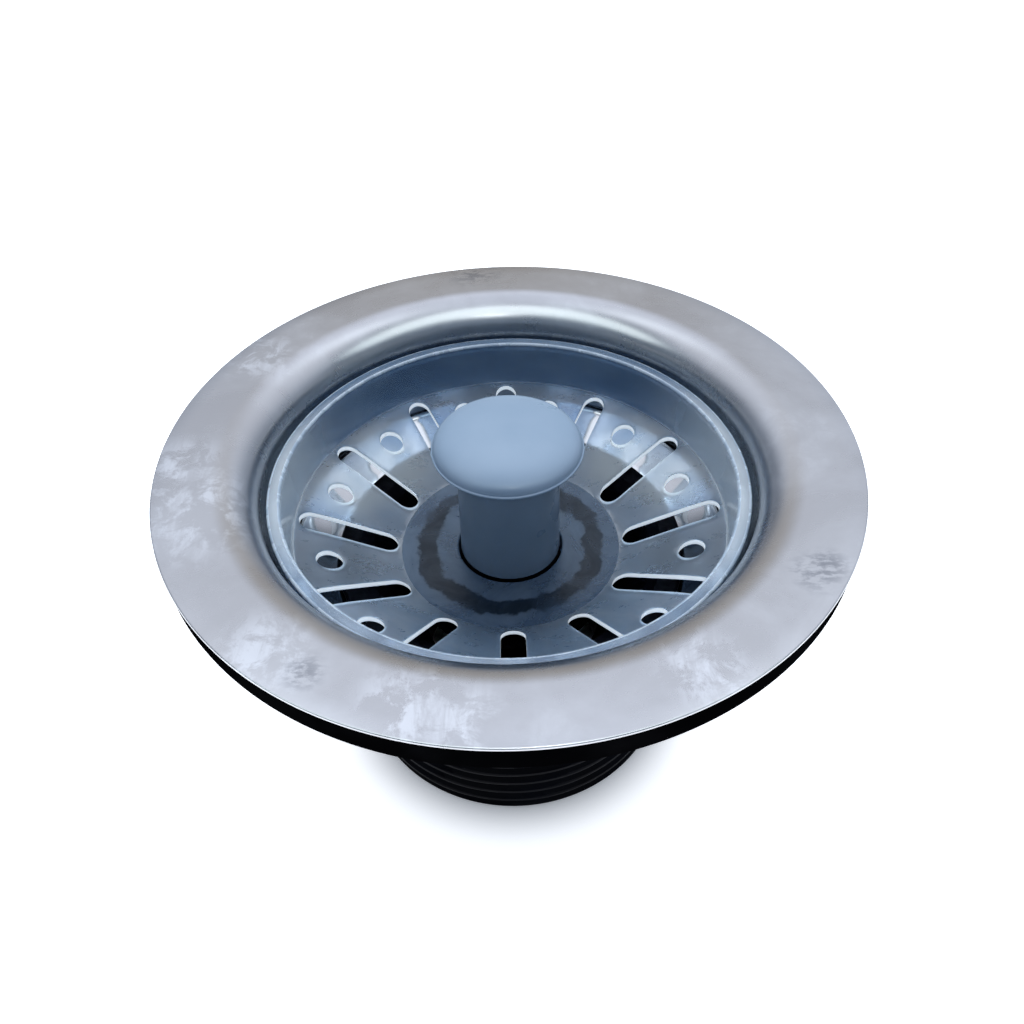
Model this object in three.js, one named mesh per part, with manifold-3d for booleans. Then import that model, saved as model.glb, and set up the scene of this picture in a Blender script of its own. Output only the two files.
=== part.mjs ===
// A kitchen sink drain with a push-down plunger, in millimetres, +Z up.
// A steel flange dish sits on the sink and a black moulded body hangs below it. A clear basket lies in the
// dish, and a push knob through the basket's floor carries the rubber stopper that closes the outlet.
// The origin is the centre of the outlet pipe's open lower end.

import * as THREE from "three";
import { mergeVertices } from "three/addons/utils/BufferGeometryUtils.js";
import Module from "manifold-3d";

const wasm = await Module();
wasm.setup();

// ---- Driving dimensions ----

const RIM_RADIUS = 57; // a 114 mm flange, the size that covers a 90 mm sink hole
const RIM_HEIGHT = 66; // from the outlet's end to the top of the flange
const STEEL = 0.7; // sheet thickness of the flange dish
const GAP = 0.3; // between pieces that touch

const ROLL_START_RADIUS = 48; // where the flat rim begins to roll down
const THROAT_RADIUS = 41.6; // the dish's inside, just under the roll
const DISH_CORNER_RADIUS = 38.2; // where the steep wall turns into the sloping floor
const DISH_CORNER_DEPTH = 21.2;
const DISH_FLOOR_RADIUS = 31.7; // where the slope meets the flat ring round the hole
const DISH_FLOOR_DEPTH = 25; // below the rim's top
const DISH_HOLE_RADIUS = 28.2;

const COLLAR_THREAD_RADIUS = 44.4; // crest of the thread that the locknut runs on
const COLLAR_ROOT_RADIUS = 43.6;
const COLLAR_BORE_RADIUS = 42.7;
const CUP_DEPTH = 28.2; // lowest point of the cup's side, below the rim's top
const TAIL_THREAD_RADIUS = 31.2; // crest of the outlet thread
const TAIL_ROOT_RADIUS = 30.1;
const TAIL_BORE_RADIUS = 27.2;
const COLLAR_THREAD = { pitch: 4, turns: 4 };
const TAIL_THREAD = { pitch: 3, turns: 5 };

const DECK_GAP = 3; // sheet that fits between the two gaskets with the nut at rest
const NUT_BORE_RADIUS = 44.8;

const BASKET_RADIUS = 40.7; // of the lip
const BASKET_LIP_DEPTH = 7; // the lip's top, below the rim's top
const BASKET_FLOOR_DEPTH = 24.5; // the flat middle of the basket's floor
const BASKET_WALL = 1.3;
const SLOT_COUNT = 12;
const SLOT_WIDTH = 4.2;
const SLOT_INNER_RADIUS = 20.6; // the slots' rounded ends reach from here...
const SLOT_OUTER_RADIUS = 37.4; // ...to here
const HOLE_CIRCLE_RADIUS = 32.4;
const HOLE_RADIUS = 2.2;
const STEM_BORE_RADIUS = 9.5;

const CAP_RADIUS = 12.75;
const CAP_UNDERSIDE_DEPTH = 1.5;
const CAP_THICKNESS = 3.8;
const STEM_TOP_RADIUS = 8.7; // the stem widens slightly downwards
const STEM_RADIUS = 9;
const SPINDLE_RADIUS = 3;
const SPINDLE_BORE_RADIUS = 3.3;
const PLUNGER_TRAVEL = 7;

const ROUND = 36; // sides of the large round pieces
const SMALL_ROUND = 24; // sides of the plunger's pieces

// ---- Materials ----

function material(color, roughness, metalness) {
  return new THREE.MeshStandardMaterial({ color, roughness, metalness });
}

const brushedSteel = material(0xb9bcc4, 0.35, 1);
const hardwareSteel = material(0xa8abb0, 0.3, 1);
const blackRubber = material(0x17181a, 0.85, 0);
const blackPlastic = material(0x121315, 0.5, 0);
const greyPlastic = material(0x93a5b8, 0.38, 0);
const whitePlastic = material(0xd8d8d2, 0.5, 0);
const clearPlastic = material(0xc8d2dc, 0.15, 0);
clearPlastic.transparent = true;
clearPlastic.opacity = 0.4;

// ---- Shapes ----

// Outlines are lists of [radius, depth], with depth measured down from the rim's top.
const point = ([radius, depth]) => new THREE.Vector2(radius, RIM_HEIGHT - depth);

function signedArea(points) {
  let sum = 0;
  points.forEach((a, i) => {
    const b = points[(i + 1) % points.length];
    sum += a.x * b.y - b.x * a.y;
  });
  return sum / 2;
}

// Turns a closed outline about the Z axis. An outline that touches the axis starts and ends on it.
function turned(outline, sides = ROUND) {
  let points = outline.map(point);
  if (signedArea(points) < 0) points.reverse();
  const before = (i) => points[(i + points.length - 1) % points.length];
  const onAxis = points.findIndex((p, i) => p.x === 0 && before(i).x === 0);
  if (onAxis >= 0) {
    points = [...points.slice(onAxis), ...points.slice(0, onAxis)];
  } else {
    points.push(points[0].clone());
  }
  return new THREE.LatheGeometry(points, sides).rotateX(Math.PI / 2);
}

// A washer or plain ring between two depths.
function ring(innerRadius, outerRadius, top, bottom, sides = ROUND) {
  const corners = [[innerRadius, top], [outerRadius, top], [outerRadius, bottom], [innerRadius, bottom]];
  return turned(corners, sides);
}

// The points of an arc about [radius, depth], with 0 degrees outwards and 90 degrees up.
function arc([centreRadius, centreDepth], arcRadius, fromDegrees, toDegrees, steps) {
  return Array.from({ length: steps + 1 }, (_, i) => {
    const angle = THREE.MathUtils.degToRad(THREE.MathUtils.lerp(fromDegrees, toDegrees, i / steps));
    return [centreRadius + arcRadius * Math.cos(angle), centreDepth - arcRadius * Math.sin(angle)];
  });
}

// An upright prism from a flat shape, between two depths.
function prism(shape, top, bottom, curveSegments = 4) {
  const options = { depth: bottom - top, bevelEnabled: false, curveSegments };
  return new THREE.ExtrudeGeometry(shape, options).translate(0, 0, RIM_HEIGHT - bottom);
}

function cylinder(radius, top, bottom, sides) {
  const geometry = new THREE.CylinderGeometry(radius, radius, bottom - top, sides);
  return geometry.rotateX(Math.PI / 2).translate(0, 0, RIM_HEIGHT - (top + bottom) / 2);
}

// A thread's ridge: a straight bar with the ridge's section, bent round the Z axis as a right-hand helix.
function threadRidge(rootRadius, crestRadius, top, { pitch, turns }) {
  const bury = 0.4; // how far the ridge starts inside the wall it grows from
  const section = new THREE.Shape([
    new THREE.Vector2(rootRadius - bury, -0.36 * pitch),
    new THREE.Vector2(crestRadius, -0.1 * pitch),
    new THREE.Vector2(crestRadius, 0.1 * pitch),
    new THREE.Vector2(rootRadius - bury, 0.36 * pitch),
  ]);
  const bar = new THREE.ExtrudeGeometry(section, { depth: turns, steps: turns * ROUND, bevelEnabled: false });
  const position = bar.attributes.position;
  for (let i = 0; i < position.count; i++) {
    const radius = position.getX(i);
    const turn = position.getZ(i);
    const angle = -turn * 2 * Math.PI;
    const height = RIM_HEIGHT - top - turn * pitch + position.getY(i);
    position.setXYZ(i, radius * Math.cos(angle), radius * Math.sin(angle), height);
  }
  return bar;
}

// ---- Joining and cutting ----

function solid(geometry) {
  const bare = geometry.clone();
  bare.deleteAttribute("normal");
  bare.deleteAttribute("uv");
  const merged = mergeVertices(bare, 1e-4);
  return new wasm.Manifold(
    new wasm.Mesh({
      numProp: 3,
      vertProperties: Float32Array.from(merged.attributes.position.array),
      triVerts: Uint32Array.from(merged.index.array),
    }),
  );
}

function geometryOf(manifold) {
  const mesh = manifold.getMesh();
  const geometry = new THREE.BufferGeometry();
  geometry.setAttribute("position", new THREE.BufferAttribute(Float32Array.from(mesh.vertProperties), 3));
  geometry.setIndex(Array.from(mesh.triVerts));
  geometry.computeVertexNormals();
  return geometry;
}

const joined = (base, ...others) => others.reduce((sum, other) => sum.add(solid(other)), solid(base));
const cut = (manifold, tools) => tools.reduce((rest, tool) => rest.subtract(solid(tool)), manifold);

function evenAngles(count, offset = 0) {
  return Array.from({ length: count }, (_, i) => ((i + offset) * 2 * Math.PI) / count);
}

// ---- The drain that is fixed to the sink ----

function flangeDish() {
  const rollRadius = ROLL_START_RADIUS - THROAT_RADIUS;
  const rollCentre = [ROLL_START_RADIUS, rollRadius];
  // The steep wall, its corner and the slope, moved outwards by an offset for the sheet's other face.
  const wall = (offset) => {
    const moved = (radius, depth, outwards, down) =>
      new THREE.Vector2(radius + offset * outwards, depth + offset * down);
    const steep = new THREE.CubicBezierCurve(
      moved(THROAT_RADIUS, rollRadius, 1, 0),
      moved(THROAT_RADIUS - 0.1, 11.5, 1, 0),
      moved(DISH_CORNER_RADIUS + 1.4, DISH_CORNER_DEPTH - 5, 1, 0),
      moved(DISH_CORNER_RADIUS + 0.4, DISH_CORNER_DEPTH - 2, 1, 0),
    );
    const corner = [
      moved(DISH_CORNER_RADIUS + 0.3, DISH_CORNER_DEPTH - 0.5, 0.95, 0.2),
      moved(DISH_CORNER_RADIUS - 0.2, DISH_CORNER_DEPTH + 0.1, 0.5, 0.87),
    ];
    const floor = [moved(DISH_FLOOR_RADIUS, DISH_FLOOR_DEPTH, 0.2, 1)];
    return [...steep.getPoints(5).slice(1), ...corner, ...floor].map((p) => [p.x, p.y]);
  };
  const inside = [
    ...arc(rollCentre, rollRadius, 90, 180, 4),
    ...wall(0),
    [DISH_HOLE_RADIUS, DISH_FLOOR_DEPTH],
  ];
  const outside = [
    ...arc(rollCentre, rollRadius - STEEL, 90, 180, 4),
    ...wall(STEEL),
    [DISH_HOLE_RADIUS, DISH_FLOOR_DEPTH + STEEL],
  ];
  const rimEdge = [[RIM_RADIUS - 0.3, STEEL], [RIM_RADIUS, 0.5 * STEEL], [RIM_RADIUS - 0.3, 0]];
  return turned([...rimEdge, ...inside, ...outside.reverse()]);
}

const RIM_GASKET_TOP = STEEL + 0.35;
const RIM_GASKET_BOTTOM = 5.1;

function rimGasket() {
  const inner = 45.6;
  const outer = RIM_RADIUS - 0.2;
  return turned([
    [inner, 1.9],
    [inner + 1.7, RIM_GASKET_TOP],
    [outer, RIM_GASKET_TOP],
    [outer, RIM_GASKET_BOTTOM],
    [inner, RIM_GASKET_BOTTOM],
  ]);
}

const LEDGE_DEPTH = 27.9; // the body's flat ledge under the dish's floor ring
const SEAT_STEP_DEPTH = 31.5; // the body's counterbore for the outlet seat ends here

function dishSeal() {
  return ring(DISH_HOLE_RADIUS + 0.4, DISH_FLOOR_RADIUS + 1.3, DISH_FLOOR_DEPTH + STEEL + GAP, LEDGE_DEPTH - GAP);
}

function drainBody() {
  const shell = turned([
    [COLLAR_BORE_RADIUS, 5.9],
    [COLLAR_ROOT_RADIUS, 5.9],
    [COLLAR_ROOT_RADIUS, CUP_DEPTH - 1.2],
    [COLLAR_ROOT_RADIUS - 1.2, CUP_DEPTH],
    [TAIL_ROOT_RADIUS + 2.6, 32.3],
    [TAIL_ROOT_RADIUS + 0.7, 33.3],
    [TAIL_ROOT_RADIUS, 34.8],
    [TAIL_ROOT_RADIUS, RIM_HEIGHT - 0.7],
    [TAIL_ROOT_RADIUS - 0.7, RIM_HEIGHT],
    [TAIL_BORE_RADIUS, RIM_HEIGHT],
    [TAIL_BORE_RADIUS, SEAT_STEP_DEPTH],
    [DISH_HOLE_RADIUS, SEAT_STEP_DEPTH],
    [DISH_HOLE_RADIUS, LEDGE_DEPTH],
    [35.2, LEDGE_DEPTH],
    [COLLAR_BORE_RADIUS, 24.2],
  ]);
  const collarThread = threadRidge(COLLAR_ROOT_RADIUS, COLLAR_THREAD_RADIUS, 9, COLLAR_THREAD);
  const tailThread = threadRidge(TAIL_ROOT_RADIUS, TAIL_THREAD_RADIUS, 49.2, TAIL_THREAD);
  return geometryOf(joined(shell, collarThread, tailThread));
}

// The insert that clamps the dish to the body. Its funnel is the stopper's seat, and three arms hold
// the hub that guides the spindle.
function outletSeat() {
  const tubeRadius = DISH_HOLE_RADIUS - GAP;
  const tubeBottom = SEAT_STEP_DEPTH - GAP;
  const flangeTop = DISH_FLOOR_DEPTH - 1.3;
  const flangeUnderside = DISH_FLOOR_DEPTH - GAP;
  const throatRadius = 17.2;
  const throatTop = SEAL_BOTTOM + PLUNGER_TRAVEL + 1.5;
  const skirtRadius = throatRadius + 2.2;
  const hubTop = SPINDLE_NUT_BOTTOM + PLUNGER_TRAVEL + 2.9;
  const hubBottom = hubTop + 7;
  const funnel = turned([
    [27.6, flangeTop + 0.2],
    [31, flangeTop],
    [31.4, flangeTop + 0.4],
    [31.4, flangeUnderside],
    [tubeRadius, flangeUnderside],
    [tubeRadius, tubeBottom],
    [tubeRadius - 2, tubeBottom],
    [skirtRadius, throatTop + 1],
    [skirtRadius, hubBottom],
    [throatRadius, hubBottom],
    [throatRadius, throatTop],
    [24.8, 27.5],
    [25.6, 25.6],
  ]);
  const hub = cylinder(6.2, hubTop, hubBottom, 24);
  const arms = evenAngles(3, 0.25).map((angle) => {
    const arm = new THREE.BoxGeometry(throatRadius - 4, 2.4, 5);
    return arm.translate((throatRadius + 5) / 2, 0, RIM_HEIGHT - hubBottom + 2.6).rotateZ(angle);
  });
  const bore = cylinder(SPINDLE_BORE_RADIUS + 0.2, hubTop - 1, hubBottom + 1, 24);
  return geometryOf(cut(joined(funnel, hub, ...arms), [bore]));
}

// ---- The clamp that is pulled up under the sink, and its nut ----

const CLAMP_TOP = RIM_GASKET_BOTTOM + DECK_GAP;
const WASHER_TOP = CLAMP_TOP + 2.5 + GAP;
const NUT_TOP = WASHER_TOP + 0.8 + GAP;

const deckGasket = () => ring(NUT_BORE_RADIUS + 0.1, 51.5, CLAMP_TOP, WASHER_TOP - GAP);
const frictionWasher = () => ring(NUT_BORE_RADIUS + 0.1, 51, WASHER_TOP, NUT_TOP - GAP);

// A flanged ring with finger grips. Its bore is plain: it clears the body's thread.
function locknut() {
  const height = 6.5;
  const grips = 16;
  const body = turned([
    [NUT_BORE_RADIUS, NUT_TOP],
    [49.8, NUT_TOP],
    [49.8, NUT_TOP + 1.6],
    [47.2, NUT_TOP + 2.2],
    [46.6, NUT_TOP + height],
    [NUT_BORE_RADIUS, NUT_TOP + height],
  ]);
  const grip = () => new THREE.BoxGeometry(2, 2.4, height - 1.2);
  const gripHeight = RIM_HEIGHT - NUT_TOP - height / 2;
  const ribs = evenAngles(grips, 0.5).map((angle) => grip().translate(46.4, 0, gripHeight).rotateZ(angle));
  return geometryOf(joined(body, ...ribs));
}

// ---- The basket ----

// A radial slot with round ends, lying along +X.
function slotShape() {
  const half = SLOT_WIDTH / 2;
  const near = SLOT_INNER_RADIUS + half;
  const far = SLOT_OUTER_RADIUS - half;
  const shape = new THREE.Shape();
  shape.moveTo(near, -half);
  shape.lineTo(far, -half);
  shape.absarc(far, 0, half, -Math.PI / 2, Math.PI / 2, false);
  shape.lineTo(near, half);
  shape.absarc(near, 0, half, Math.PI / 2, (3 * Math.PI) / 2, false);
  return shape;
}

function basket() {
  const lip = BASKET_LIP_DEPTH;
  const floor = BASKET_FLOOR_DEPTH;
  const collarRadius = STEM_BORE_RADIUS + 2.2;
  const collarBottom = floor + 4.3;
  const shell = turned([
    [STEM_BORE_RADIUS, floor],
    [19.3, floor],
    [SLOT_INNER_RADIUS, floor - 0.5],
    [32.4, floor - 6.1],
    [38.1, floor - 8.4],
    [38.5, lip],
    [BASKET_RADIUS, lip],
    [BASKET_RADIUS, lip + 1.8],
    [BASKET_RADIUS - 0.7, lip + 2.2],
    [39.7, floor - 9.8],
    [39.1, floor - 8.4],
    [38.1, floor - 7.3],
    [37, floor - 6.6],
    [33, floor - 4.9],
    [20.2, floor + BASKET_WALL - 0.3],
    [19.2, floor + BASKET_WALL],
    [collarRadius, floor + BASKET_WALL],
    [collarRadius, collarBottom],
    [STEM_BORE_RADIUS, collarBottom],
  ]);
  const top = lip + 1;
  const bottom = floor + 4;
  const slots = evenAngles(SLOT_COUNT).map((angle) => prism(slotShape(), top, bottom).rotateZ(angle));
  const holes = evenAngles(SLOT_COUNT, 0.5).map((angle) =>
    cylinder(HOLE_RADIUS, top, bottom, 10).translate(HOLE_CIRCLE_RADIUS, 0, 0).rotateZ(angle),
  );
  return geometryOf(cut(solid(shell), [...slots, ...holes]));
}

// ---- The plunger ----

const CAP_TOP = CAP_UNDERSIDE_DEPTH - CAP_THICKNESS;
const STEM_HOLLOW_RADIUS = 5.6;
const STEM_WEB_DEPTH = 24; // the hollow's floor, which the spindle's head bears on
const STEM_BOTTOM = BASKET_FLOOR_DEPTH + 4.3;
const GROOVE_TOP = BASKET_FLOOR_DEPTH - 0.1;
const GROOVE_BOTTOM = GROOVE_TOP + 2.2;
const GROOVE_RADIUS = 7;

// A low dome with a fine bead round its lower edge, and a plug that fits the stem's hollow.
function knobCap() {
  const domeBottom = CAP_UNDERSIDE_DEPTH - 0.45;
  const dome = new THREE.CubicBezierCurve(
    new THREE.Vector2(0, CAP_TOP),
    new THREE.Vector2(7.5, CAP_TOP),
    new THREE.Vector2(CAP_RADIUS - 0.75, CAP_TOP + 0.6),
    new THREE.Vector2(CAP_RADIUS - 0.25, domeBottom),
  );
  const plugRadius = STEM_HOLLOW_RADIUS - GAP;
  const plugBottom = CAP_UNDERSIDE_DEPTH + 6;
  return turned(
    [
      ...dome.getPoints(9).map((p) => [p.x, p.y]),
      [CAP_RADIUS, domeBottom + 0.1],
      [CAP_RADIUS, CAP_UNDERSIDE_DEPTH],
      [plugRadius, CAP_UNDERSIDE_DEPTH],
      [plugRadius, plugBottom],
      [plugRadius - 1.5, plugBottom],
      [plugRadius - 1.5, CAP_UNDERSIDE_DEPTH - 1.2],
      [0, CAP_UNDERSIDE_DEPTH - 1.2],
    ],
    SMALL_ROUND,
  );
}

function knobStem() {
  return turned(
    [
      [STEM_HOLLOW_RADIUS, CAP_UNDERSIDE_DEPTH + GAP],
      [STEM_TOP_RADIUS, CAP_UNDERSIDE_DEPTH + GAP],
      [STEM_RADIUS, GROOVE_TOP],
      [GROOVE_RADIUS, GROOVE_TOP],
      [GROOVE_RADIUS, GROOVE_BOTTOM],
      [STEM_RADIUS, GROOVE_BOTTOM],
      [STEM_RADIUS, STEM_BOTTOM],
      [SPINDLE_BORE_RADIUS, STEM_BOTTOM],
      [SPINDLE_BORE_RADIUS, STEM_WEB_DEPTH],
      [STEM_HOLLOW_RADIUS, STEM_WEB_DEPTH],
    ],
    SMALL_ROUND,
  );
}

// The rubber ring in the stem's groove, which drags in the basket's collar and snaps out below it.
function detentRing() {
  const section = 0.8;
  const centre = [STEM_BORE_RADIUS - GAP - section, (GROOVE_TOP + GROOVE_BOTTOM) / 2];
  return turned(arc(centre, section, 0, 315, 7), SMALL_ROUND);
}

const PLATE_TOP = STEM_BOTTOM + GAP;
const SEAL_TOP = PLATE_TOP + 1.9 + GAP;
const SEAL_BOTTOM = SEAL_TOP + 3.2;
const SEAL_WASHER_TOP = SEAL_BOTTOM + GAP;
const SPINDLE_NUT_TOP = SEAL_WASHER_TOP + 1 + GAP;
const SPINDLE_NUT_BOTTOM = SPINDLE_NUT_TOP + 3.5;
const SPINDLE_TIP = 54;

const stopperPlate = () => ring(SPINDLE_BORE_RADIUS, 16, PLATE_TOP, SEAL_TOP - GAP, SMALL_ROUND);

function stopperSeal() {
  return turned(
    [
      [SPINDLE_BORE_RADIUS, SEAL_TOP],
      [18.2, SEAL_TOP],
      [18.6, SEAL_TOP + 0.6],
      [17.6, SEAL_BOTTOM],
      [SPINDLE_BORE_RADIUS, SEAL_BOTTOM],
    ],
    SMALL_ROUND,
  );
}

const sealWasher = () => ring(SPINDLE_BORE_RADIUS, 8, SEAL_WASHER_TOP, SPINDLE_NUT_TOP - GAP, SMALL_ROUND);

function spindleNut() {
  const acrossCorners = 11.5;
  const blank = cylinder(acrossCorners / 2, SPINDLE_NUT_TOP, SPINDLE_NUT_BOTTOM, 6);
  const bore = cylinder(SPINDLE_BORE_RADIUS, SPINDLE_NUT_TOP - 1, SPINDLE_NUT_BOTTOM + 1, SMALL_ROUND);
  return geometryOf(cut(solid(blank), [bore]));
}

// A pan-head screw: its head sits in the stem's hollow and its tip runs in the seat's hub.
function spindle() {
  const headBottom = STEM_WEB_DEPTH - GAP;
  return turned(
    [
      [0, headBottom - 3],
      [3.6, headBottom - 3],
      [5, headBottom - 1.8],
      [5, headBottom],
      [SPINDLE_RADIUS, headBottom],
      [SPINDLE_RADIUS, SPINDLE_TIP - 1],
      [SPINDLE_RADIUS - 1, SPINDLE_TIP],
      [0, SPINDLE_TIP],
    ],
    SMALL_ROUND,
  );
}

// ---- The assembly ----

const drain = new THREE.Group();
const pieces = [
  ["flange_dish", flangeDish(), brushedSteel],
  ["rim_gasket", rimGasket(), blackRubber],
  ["dish_seal", dishSeal(), blackRubber],
  ["drain_body", drainBody(), blackPlastic],
  ["outlet_seat", outletSeat(), blackPlastic],
  ["deck_gasket", deckGasket(), blackRubber],
  ["friction_washer", frictionWasher(), whitePlastic],
  ["locknut", locknut(), blackPlastic],
  ["basket", basket(), clearPlastic],
  ["knob_cap", knobCap(), greyPlastic],
  ["knob_stem", knobStem(), greyPlastic],
  ["detent_ring", detentRing(), blackRubber],
  ["stopper_plate", stopperPlate(), blackPlastic],
  ["stopper_seal", stopperSeal(), blackRubber],
  ["seal_washer", sealWasher(), hardwareSteel],
  ["spindle", spindle(), hardwareSteel],
  ["spindle_nut", spindleNut(), hardwareSteel],
];
for (const [name, geometry, finish] of pieces) {
  const mesh = new THREE.Mesh(geometry, finish);
  mesh.name = name;
  drain.add(mesh);
}

export default drain;
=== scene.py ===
"""A kitchen sink drain with a clear strainer basket and a push plunger, dressed round its CAD frame.

Outlines are lists of (radius, depth) or (radius, depth, corner radius) in millimetres, with the depth
measured down from the top of the steel rim. Everything else is in metres, in the frame's own axes.
"""
import math

import bmesh
import bpy
from mathutils import Matrix, Vector
from mathutils.geometry import delaunay_2d_cdt


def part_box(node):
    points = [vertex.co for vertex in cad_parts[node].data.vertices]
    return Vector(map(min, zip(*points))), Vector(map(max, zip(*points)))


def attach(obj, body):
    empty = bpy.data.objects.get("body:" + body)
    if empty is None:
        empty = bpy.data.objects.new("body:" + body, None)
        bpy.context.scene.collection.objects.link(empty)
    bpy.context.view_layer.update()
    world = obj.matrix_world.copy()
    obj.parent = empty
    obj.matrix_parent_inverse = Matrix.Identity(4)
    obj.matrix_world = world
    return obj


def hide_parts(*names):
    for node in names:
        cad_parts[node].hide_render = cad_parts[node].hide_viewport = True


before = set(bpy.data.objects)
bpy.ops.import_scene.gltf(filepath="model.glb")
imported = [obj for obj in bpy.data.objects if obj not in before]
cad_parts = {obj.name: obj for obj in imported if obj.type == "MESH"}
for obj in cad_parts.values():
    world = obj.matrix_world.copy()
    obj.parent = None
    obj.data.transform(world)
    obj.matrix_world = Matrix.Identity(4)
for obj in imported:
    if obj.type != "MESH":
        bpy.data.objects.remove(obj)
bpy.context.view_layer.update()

MM = 0.001
RIM_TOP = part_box("flange_dish")[1].z
FULL_TURN = 2 * math.pi
SHARP_DEGREES = 32  # edges that turn by more than this stay sharp
SAME_RADIUS = 0.02  # radii closer than this, in millimetres, are taken as equal


def node_depths(node):
    """The depths in millimetres of a CAD node's top and bottom."""
    low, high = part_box(node)
    return (RIM_TOP - high.z) / MM, (RIM_TOP - low.z) / MM


def node_radius(node):
    """A round CAD node's outer radius in millimetres."""
    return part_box(node)[1].x / MM


# ---- Mesh tools ----

def arc(centre_radius, centre_depth, radius, from_degrees, to_degrees, steps):
    """Points of an arc, with 0 degrees outwards and 90 degrees up."""
    points = []
    for i in range(steps + 1):
        angle = math.radians(from_degrees + (to_degrees - from_degrees) * i / steps)
        point = (centre_radius + radius * math.cos(angle), centre_depth - radius * math.sin(angle))
        points.append(point)
    return points


def curve(start, control_a, control_b, end, steps):
    """Points of a cubic curve, leaving out its start."""
    points = []
    for i in range(1, steps + 1):
        t = i / steps
        weights = ((1 - t) ** 3, 3 * t * (1 - t) ** 2, 3 * t * t * (1 - t), t ** 3)
        corners = (start, control_a, control_b, end)
        points.append(tuple(sum(w * c[axis] for w, c in zip(weights, corners)) for axis in (0, 1)))
    return points


def rounded(outline, steps=4):
    """Replaces each corner that states a corner radius by an arc."""
    points = []
    count = len(outline)
    for i, corner in enumerate(outline):
        here = Vector(corner[:2])
        if len(corner) < 3:
            points.append(tuple(here))
            continue
        before = Vector(outline[i - 1][:2]) - here
        after = Vector(outline[(i + 1) % count][:2]) - here
        half = before.angle(after) / 2
        reach = corner[2] / math.tan(half)
        inwards = (before.normalized() + after.normalized()).normalized()
        centre = here + inwards * corner[2] / math.sin(half)
        start = here + before.normalized() * reach - centre
        end = here + after.normalized() * reach - centre
        turn = start.angle_signed(end)
        for step in range(steps + 1):
            spoke = start.copy()
            spoke.rotate(Matrix.Rotation(-turn * step / steps, 2))
            points.append(tuple(centre + spoke))
    return points


def refined(points, longest, closed=True):
    """Splits every side of an outline that is longer than a length."""
    result = []
    sides = len(points) if closed else len(points) - 1
    for i in range(sides):
        a, b = Vector(points[i]), Vector(points[(i + 1) % len(points)])
        pieces = max(1, math.ceil((b - a).length / longest))
        result += [tuple(a.lerp(b, k / pieces)) for k in range(pieces)]
    if not closed:
        result.append(points[-1])
    return result


def place(radius, depth, angle):
    """The point in the frame, in metres, at a radius and depth in millimetres."""
    x = radius * MM * math.cos(angle)
    y = radius * MM * math.sin(angle)
    return Vector((x, y, RIM_TOP - depth * MM))


def ring_of(bm, radius, depth, sides, shape=None):
    """A ring of vertices, or a single one on the axis.

    shape(radius, depth, angle) may move each radius.
    """
    if radius < 1e-6:
        return [bm.verts.new(place(0, depth, 0))]
    ring = []
    for i in range(sides):
        angle = FULL_TURN * i / sides
        moved = shape(radius, depth, angle) if shape else radius
        ring.append(bm.verts.new(place(moved, depth, angle)))
    return ring


def bridge(bm, a, b, material_index=0):
    """Faces between two rings. Either may be a single vertex."""
    count = max(len(a), len(b))
    for i in range(count):
        j = (i + 1) % count
        corners = [a[i % len(a)], a[j % len(a)], b[j % len(b)], b[i % len(b)]]
        unique = [v for k, v in enumerate(corners) if v not in corners[:k]]
        if len(unique) > 2:
            bm.faces.new(unique).material_index = material_index


def turn_into(bm, outline, sides=160, shape=None, closed=True, material_index=0):
    """Turns an outline about the axis into bm."""
    rings = [ring_of(bm, radius, depth, sides, shape) for radius, depth in outline]
    for a, b in zip(rings, rings[1:]):
        bridge(bm, a, b, material_index)
    if closed:
        bridge(bm, rings[-1], rings[0])


def finish_mesh(name, bm, sharp_degrees=SHARP_DEGREES):
    """Makes a smooth-shaded object of bm, with its faces pointing out."""
    bmesh.ops.remove_doubles(bm, verts=bm.verts, dist=1e-7)
    bmesh.ops.recalc_face_normals(bm, faces=bm.faces)
    mesh = bpy.data.meshes.new(name)
    bm.to_mesh(mesh)
    bm.free()
    mesh.shade_smooth()
    mesh.set_sharp_from_angle(angle=math.radians(sharp_degrees))
    piece = bpy.data.objects.new(name, mesh)
    bpy.context.scene.collection.objects.link(piece)
    return piece


def turned(name, outline, sides=160, shape=None, closed=True):
    """An outline turned about the axis, as a piece of its own."""
    bm = bmesh.new()
    turn_into(bm, outline, sides, shape, closed)
    return finish_mesh(name, bm)


def smooth_step(value, low, high):
    """0 up to low, 1 from high on, and smooth between them."""
    t = min(1.0, max(0.0, (value - low) / (high - low)))
    return t * t * (3 - 2 * t)


def thread(root, crest, pitch, top, bottom):
    """A shape function: a right-hand thread on the root radius between two depths, fading in and out."""
    half_crest, half_ridge = 0.12, 0.4  # as shares of the pitch

    def shape(radius, depth, angle):
        if abs(radius - root) > SAME_RADIUS:
            return radius
        phase = (depth / pitch + angle / FULL_TURN) % 1.0
        ridge = 1 - smooth_step(abs(phase - 0.5), half_crest, half_ridge)
        fade = smooth_step(depth, top, top + pitch) * (1 - smooth_step(depth, bottom - pitch, bottom))
        return radius + (crest - root) * ridge * fade
    return shape


# ---- Materials ----

# Places of wear, scuffs and painted light or shade are (azimuth in degrees, radius in millimetres, reach in
# millimetres).

# on the rim
WORN_PATCHES = [(-105, 52, 9), (-97, 53, 7), (-163, 50, 15), (-176, 53, 9), (-128, 53, 9), (150, 52, 10),
                (-62, 52, 8)]
DARK_SCUFFS = [(-121, 52.5, 4), (-36, 52.5, 5), (-33, 53.5, 4), (96, 55, 8)]

# painted shade on the bowl's floor, under the basket
DISH_PAINTED_SHADE = [(-169, 34, 15), (-11, 34, 15)]
DISH_MIDDLE = 24.0  # its depth
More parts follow.
